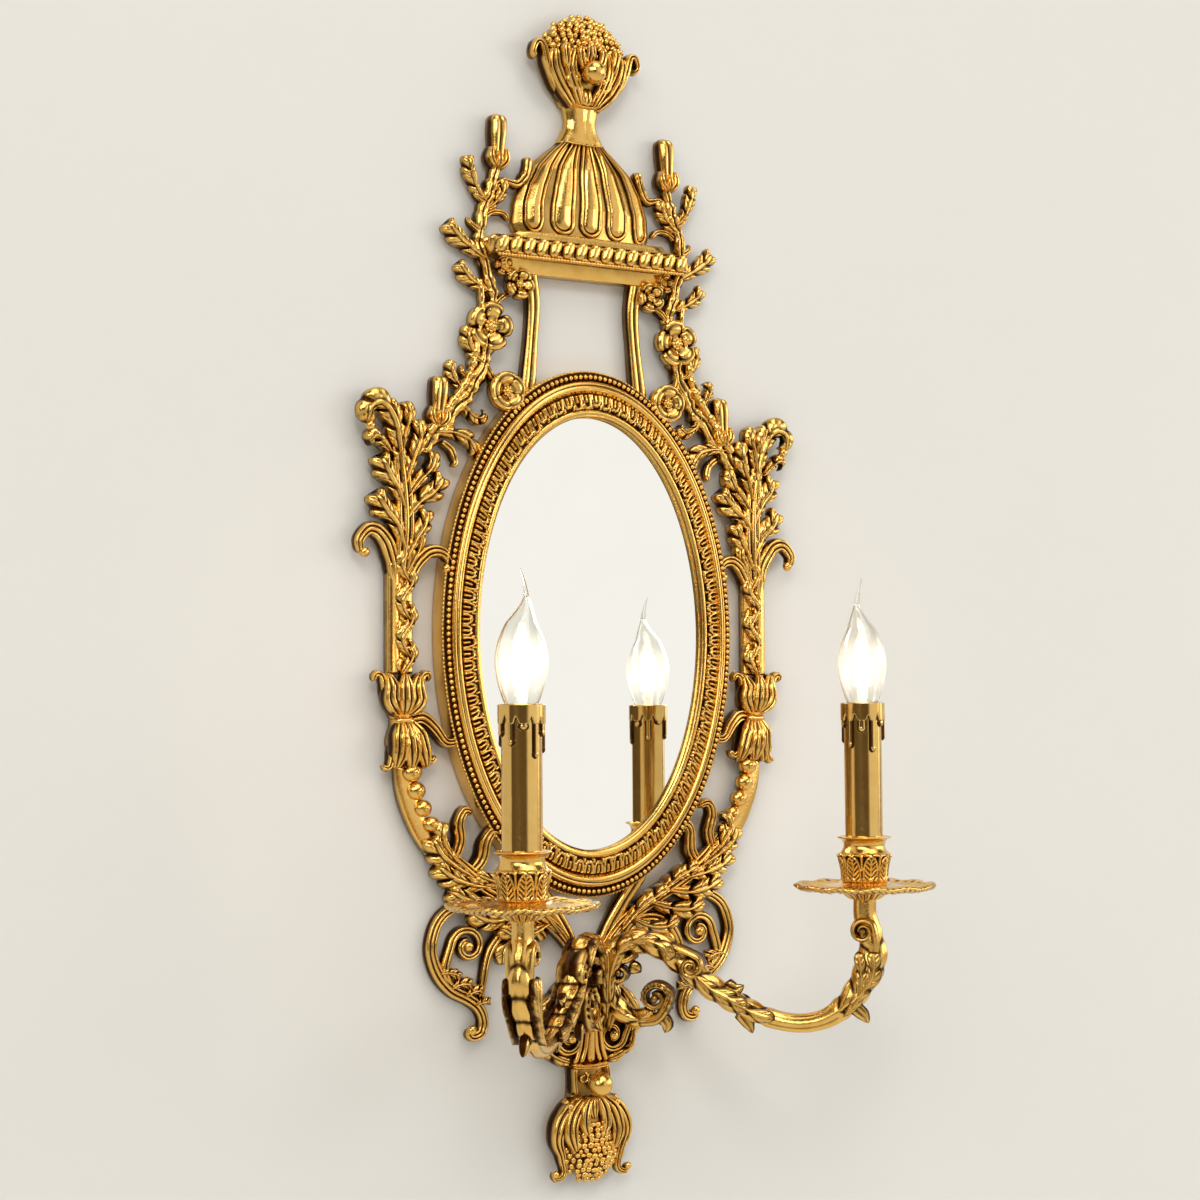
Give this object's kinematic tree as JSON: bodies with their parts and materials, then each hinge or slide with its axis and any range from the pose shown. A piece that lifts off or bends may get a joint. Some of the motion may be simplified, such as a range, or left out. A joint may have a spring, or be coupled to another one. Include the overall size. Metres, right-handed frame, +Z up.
{
  "type": "girandole mirror",
  "caption": "Cast brass wall mirror with an oval glass, fluted canopy, leafy garlands and candle arms with electric candle bulbs.",
  "frame": {"origin": "on the wall plane, midway between the two wall screws", "axes": "+X to the viewer's right, +Z up, +Y into the wall; the mirror faces -Y"},
  "size_m": [0.381, 0.2347, 0.857],
  "materials": {
    "cast_brass": "cast, chased and polished gilt brass",
    "sleeve_brass": "polished brass tube",
    "mirror_glass": "silvered float glass",
    "backing_board": "brown hardboard",
    "steel_screw": "zinc plated steel",
    "holder_plastic": "moulded heat-proof plastic",
    "bulb_glass": "clear blown glass",
    "cap_metal": "nickel plated screw cap",
    "filament": "glass stem with a bright filament"
  },
  "bodies": {
    "girandole": {"oval_frame": "cast_brass", "mirror_glass": "mirror_glass", "backing_board": "backing_board", "button_screws": "steel_screw", "canopy": "cast_brass", "cornice": "cast_brass", "finial_basket": "cast_brass", "pendant_basket": "cast_brass", "wall_studs": "steel_screw", "apron": "cast_brass", "arm_boss": "cast_brass", "nipples": "steel_screw", "lock_nuts": "steel_screw", "left_post": "cast_brass", "left_acanthus": "cast_brass", "left_flower_branch": "cast_brass", "left_vine_stem": "cast_brass", "left_husk": "cast_brass", "left_beaded_stem": "cast_brass", "left_strap": "cast_brass", "left_lower_acanthus": "cast_brass", "left_scroll": "cast_brass", "left_arch_scroll": "cast_brass", "left_arm": "cast_brass", "left_drip_pan": "cast_brass", "left_candle_cup": "cast_brass", "left_lampholder": "holder_plastic", "left_candle_sleeve": "sleeve_brass", "right_post": "cast_brass", "right_acanthus": "cast_brass", "right_flower_branch": "cast_brass", "right_vine_stem": "cast_brass", "right_husk": "cast_brass", "right_beaded_stem": "cast_brass", "right_strap": "cast_brass", "right_lower_acanthus": "cast_brass", "right_scroll": "cast_brass", "right_arch_scroll": "cast_brass", "right_arm": "cast_brass", "right_drip_pan": "cast_brass", "right_candle_cup": "cast_brass", "right_lampholder": "holder_plastic", "right_candle_sleeve": "sleeve_brass"},
    "left_bulb": {"left_bulb_glass": "bulb_glass", "left_bulb_cap": "cap_metal", "left_bulb_filament": "filament"},
    "right_bulb": {"right_bulb_glass": "bulb_glass", "right_bulb_cap": "cap_metal", "right_bulb_filament": "filament"},
    "top_nut": {"ball_nut_top": "cast_brass"},
    "bottom_nut": {"ball_nut_bottom": "cast_brass"},
    "right_button": {"turn_button_right": "steel_screw"},
    "top_button": {"turn_button_top": "steel_screw"},
    "left_button": {"turn_button_left": "steel_screw"},
    "bottom_button": {"turn_button_bottom": "steel_screw"}
  },
  "joints": [
    {"name": "left_bulb_turn", "type": "hinge", "parent": "girandole", "child": "left_bulb", "pos_m": [-0.1405, -0.1555, -0.105], "axis": [0, 0, 1], "continuous": true},
    {"name": "right_bulb_turn", "type": "hinge", "parent": "girandole", "child": "right_bulb", "pos_m": [0.1405, -0.1555, -0.105], "axis": [0, 0, 1], "continuous": true},
    {"name": "top_nut_turn", "type": "hinge", "parent": "girandole", "child": "top_nut", "pos_m": [0, -0.02, 0.37065], "axis": [0, -1, 0], "continuous": true},
    {"name": "bottom_nut_turn", "type": "hinge", "parent": "girandole", "child": "bottom_nut", "pos_m": [0, -0.02, -0.37065], "axis": [0, -1, 0], "continuous": true},
    {"name": "right_button_turn", "type": "hinge", "parent": "girandole", "child": "right_button", "pos_m": [0.1095, -0.008, -0.0437], "axis": [0, 1, 0], "range_deg": [0, 90]},
    {"name": "top_button_turn", "type": "hinge", "parent": "girandole", "child": "top_button", "pos_m": [0, -0.008, 0.13181], "axis": [0, 1, 0], "range_deg": [0, 90]},
    {"name": "left_button_turn", "type": "hinge", "parent": "girandole", "child": "left_button", "pos_m": [-0.1095, -0.008, -0.0437], "axis": [0, 1, 0], "range_deg": [0, 90]},
    {"name": "bottom_button_turn", "type": "hinge", "parent": "girandole", "child": "bottom_button", "pos_m": [0, -0.008, -0.21921], "axis": [0, 1, 0], "range_deg": [0, 90]}
  ]
}
